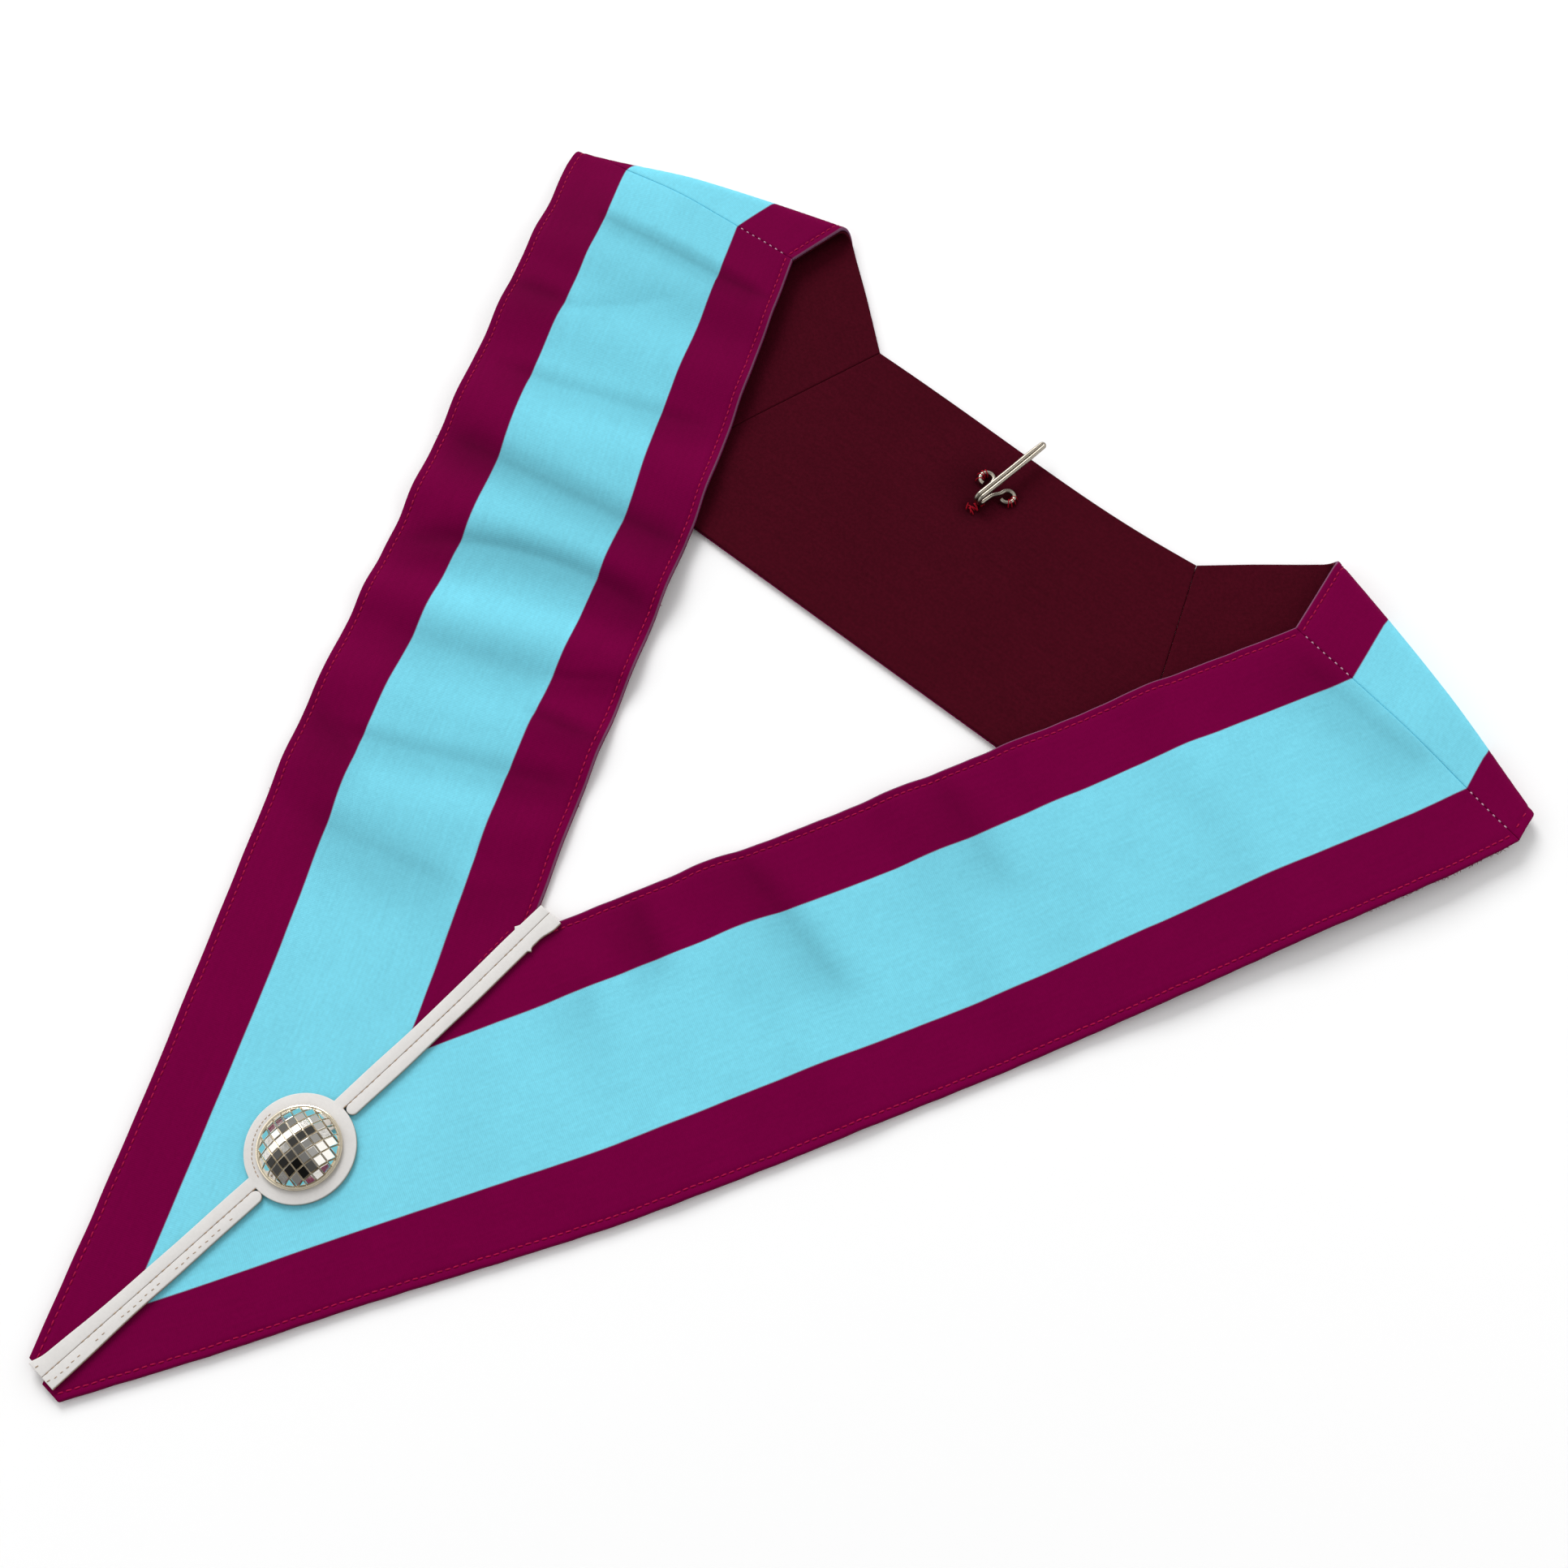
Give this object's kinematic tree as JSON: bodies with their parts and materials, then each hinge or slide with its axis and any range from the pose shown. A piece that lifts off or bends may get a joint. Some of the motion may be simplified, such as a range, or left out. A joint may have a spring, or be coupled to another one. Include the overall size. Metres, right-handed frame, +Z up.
{
  "type": "ribbon regalia collar",
  "caption": "Wide V-shaped ribbon collar laid flat and folded over at both shoulders, with a braid strip and domed button on the front seam and a wire hook on the lined back.",
  "frame": {"origin": "middle of the footprint, on the surface that the collar lies on", "axes": "+Z up from that surface, +Y from the front point towards the back panel, +X across the shoulders"},
  "size_m": [0.4384, 0.4922, 0.0132],
  "materials": {
    "ribbon": "light blue with maroon borders, ribbed, soft sheen",
    "lining": "plain matt cloth",
    "braid": "smooth flat braid",
    "button": "bright, pressed square checks",
    "hook": "plain wire"
  },
  "bodies": {
    "root": {"ribbon_front_left": "ribbon", "ribbon_front_right": "ribbon", "ribbon_shoulder_left": "ribbon", "ribbon_shoulder_right": "ribbon", "ribbon_back": "ribbon", "lining_front_left": "lining", "lining_front_right": "lining", "lining_shoulder_left": "lining", "lining_shoulder_right": "lining", "lining_back": "lining", "braid_loop": "braid", "braid_lower": "braid", "braid_upper": "braid", "button": "button", "hook": "hook"}
  },
  "joints": []
}
